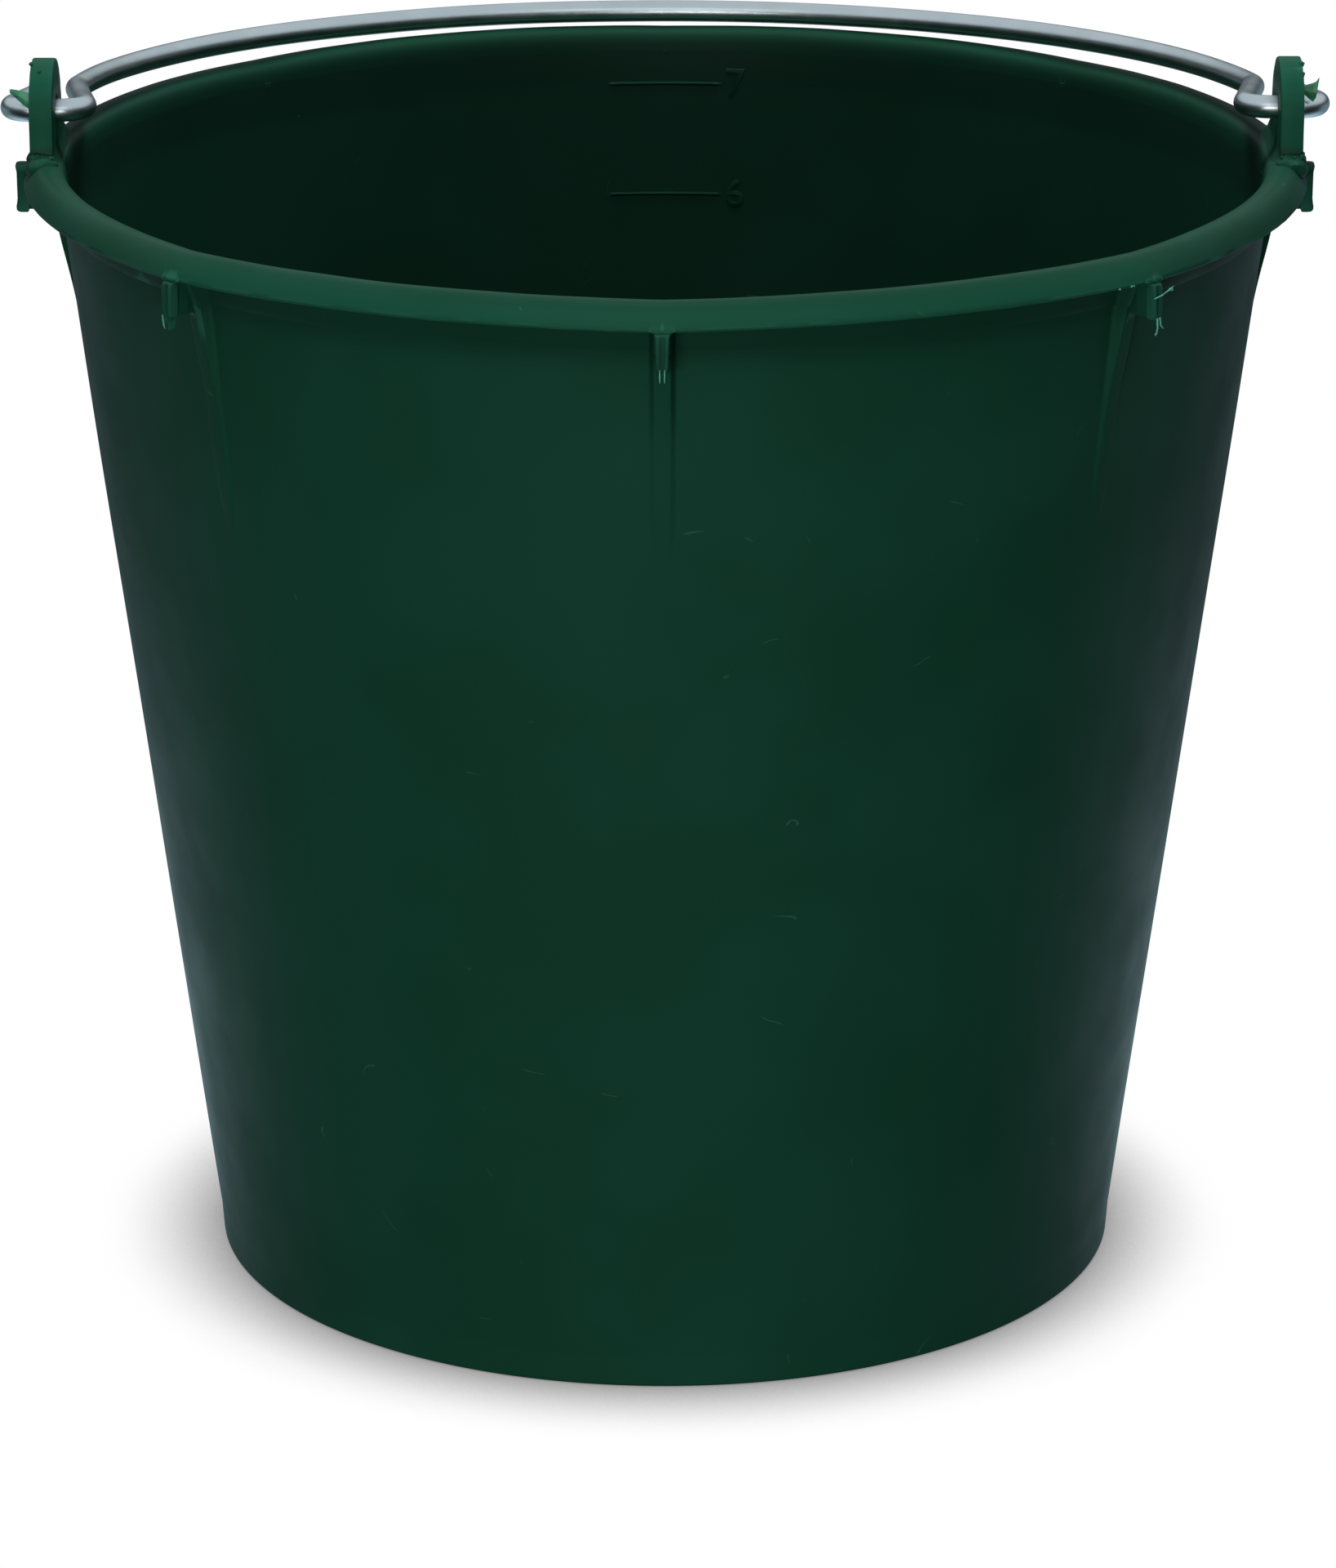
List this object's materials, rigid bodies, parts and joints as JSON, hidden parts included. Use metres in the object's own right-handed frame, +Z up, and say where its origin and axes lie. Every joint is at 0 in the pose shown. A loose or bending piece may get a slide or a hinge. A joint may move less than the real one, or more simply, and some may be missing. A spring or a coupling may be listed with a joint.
{
  "type": "florist bucket",
  "caption": "Tapered round moulded pail with a turned-out rim, two pierced ears and a swinging bent-wire bail; litre marks inside.",
  "frame": {"origin": "centre of the foot, on the surface that the pail stands on", "axes": "+Z up along the pail's axis; X along the bail's hinge, through both ears; +Y towards the side where the bail lies at rest"},
  "size_m": [0.2642, 0.258, 0.2454],
  "materials": {
    "green_plastic": "dark green injection-moulded polyethylene, satin",
    "galvanised_wire": "galvanised steel wire, dull silver"
  },
  "bodies": {
    "pail": {"bucket": "green_plastic"},
    "handle": {"bail": "galvanised_wire"}
  },
  "joints": [
    {"name": "bail_hinge", "type": "hinge", "parent": "pail", "child": "handle", "pos_m": [0, 0, 0.235], "axis": [1, 0, 0], "range_deg": [0, 185]}
  ]
}
